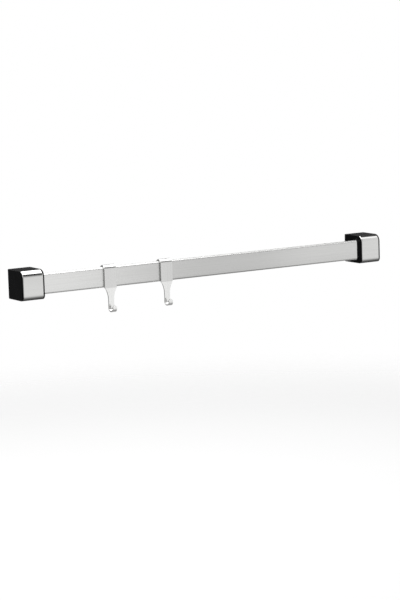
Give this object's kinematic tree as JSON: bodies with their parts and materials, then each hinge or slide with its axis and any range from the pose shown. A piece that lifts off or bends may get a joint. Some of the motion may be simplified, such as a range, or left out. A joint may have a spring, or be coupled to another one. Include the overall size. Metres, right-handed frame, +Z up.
{
  "type": "kitchen utensil rail",
  "caption": "Flat steel kitchen rail held off the wall by black end brackets with steel front plates, with bent steel hooks that slide along it.",
  "frame": {"origin": "on the wall plane, at the middle of the four wall screw holes", "axes": "+X along the rail to the right as seen from the room, +Y into the wall, +Z up"},
  "size_m": [0.5, 0.036, 0.0587],
  "materials": {
    "rail_steel": "long brushed lines along the rail",
    "plate_steel": "fine brushed, with bright pressed edges",
    "hook_steel": "fine brushed along the strip",
    "black_housing": "glossy black moulding",
    "plug_plastic": "plain black moulding",
    "zinc_sheet": "zinc-plated sheet",
    "screw_steel": "plain turned steel",
    "brass_bush": "turned brass"
  },
  "bodies": {
    "root": {"rail": "rail_steel", "left_housing": "black_housing", "left_front_plate": "plate_steel", "left_wall_plate": "zinc_sheet", "left_lock_bush": "brass_bush", "left_lock_screw": "screw_steel", "left_clamp_bush": "brass_bush", "left_clamp_screw": "screw_steel", "left_rail_plug": "plug_plastic", "right_housing": "black_housing", "right_front_plate": "plate_steel", "right_wall_plate": "zinc_sheet", "right_lock_bush": "brass_bush", "right_lock_screw": "screw_steel", "right_clamp_bush": "brass_bush", "right_clamp_screw": "screw_steel", "right_rail_plug": "plug_plastic"},
    "left_hook": {"left_hook": "hook_steel"},
    "right_hook": {"right_hook": "hook_steel"}
  },
  "joints": [
    {"name": "left_hook_slide", "type": "slide", "parent": "root", "child": "left_hook", "axis": [1, 0, 0], "range_m": [-0.0805, 0.02935]},
    {"name": "right_hook_slide", "type": "slide", "parent": "root", "child": "right_hook", "axis": [1, 0, 0], "range_m": [-0.02935, 0.2678]}
  ]
}
